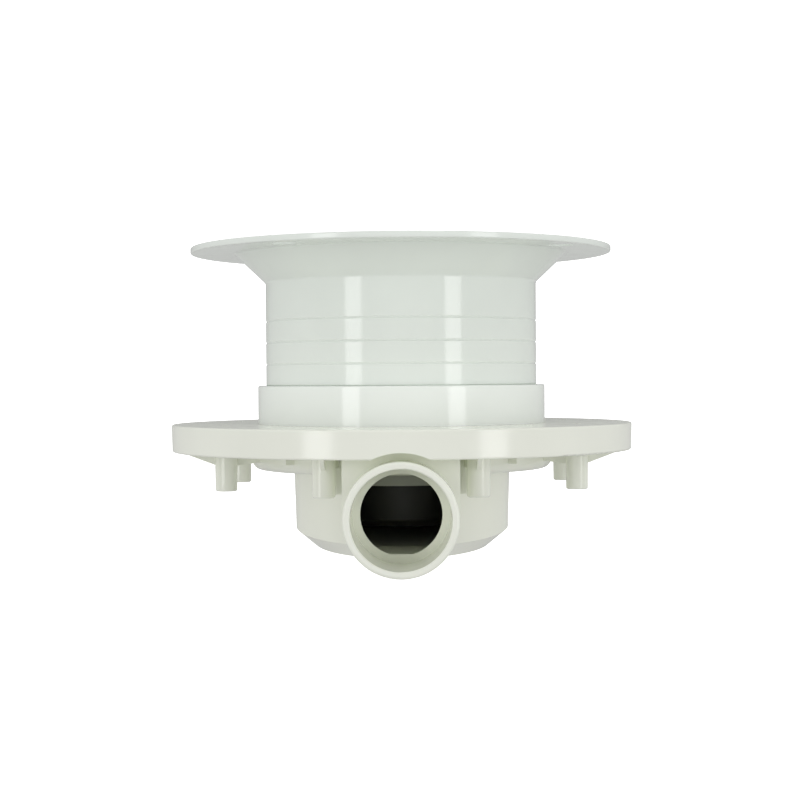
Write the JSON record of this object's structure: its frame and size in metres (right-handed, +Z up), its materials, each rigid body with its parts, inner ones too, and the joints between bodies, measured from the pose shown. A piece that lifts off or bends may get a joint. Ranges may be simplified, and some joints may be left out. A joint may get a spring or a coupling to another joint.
{
  "type": "floor drain",
  "caption": "White moulded floor drain with a grooved telescopic neck, slotted grate, screw-boss flange, trap pot with a sloped floor and a side pipe socket.",
  "frame": {"origin": "centre of the lower flange's top face, on the axis of the neck and the pot", "axes": "+Z up along the neck, outlet socket towards -Y, +X to the right when looking into the outlet"},
  "size_m": [0.2575, 0.2588, 0.1719],
  "materials": {
    "body_white": "warm white injection-moulded plastic, satin gloss",
    "neck_white": "cool white injection-moulded plastic, satin gloss",
    "grate_white": "cool white injection-moulded plastic, satin gloss",
    "trap_white": "white injection-moulded plastic, matt",
    "trap_black": "black injection-moulded plastic, matt",
    "seal_rubber": "black rubber"
  },
  "bodies": {
    "drain": {"drain_body": "body_white", "collar": "neck_white", "trap_gasket": "seal_rubber", "trap_seat": "trap_white", "trap_cup": "trap_black"},
    "seal": {"neck_seal": "seal_rubber"},
    "neck": {"neck": "neck_white", "grate": "grate_white"}
  },
  "joints": [
    {"name": "neck_turn", "type": "hinge", "parent": "drain", "child": "seal", "pos_m": [0, 0, 0], "axis": [0, 0, 1], "continuous": true},
    {"name": "neck_slide", "type": "slide", "parent": "seal", "child": "neck", "axis": [0, 0, 1], "range_m": [0, 0.025]}
  ]
}
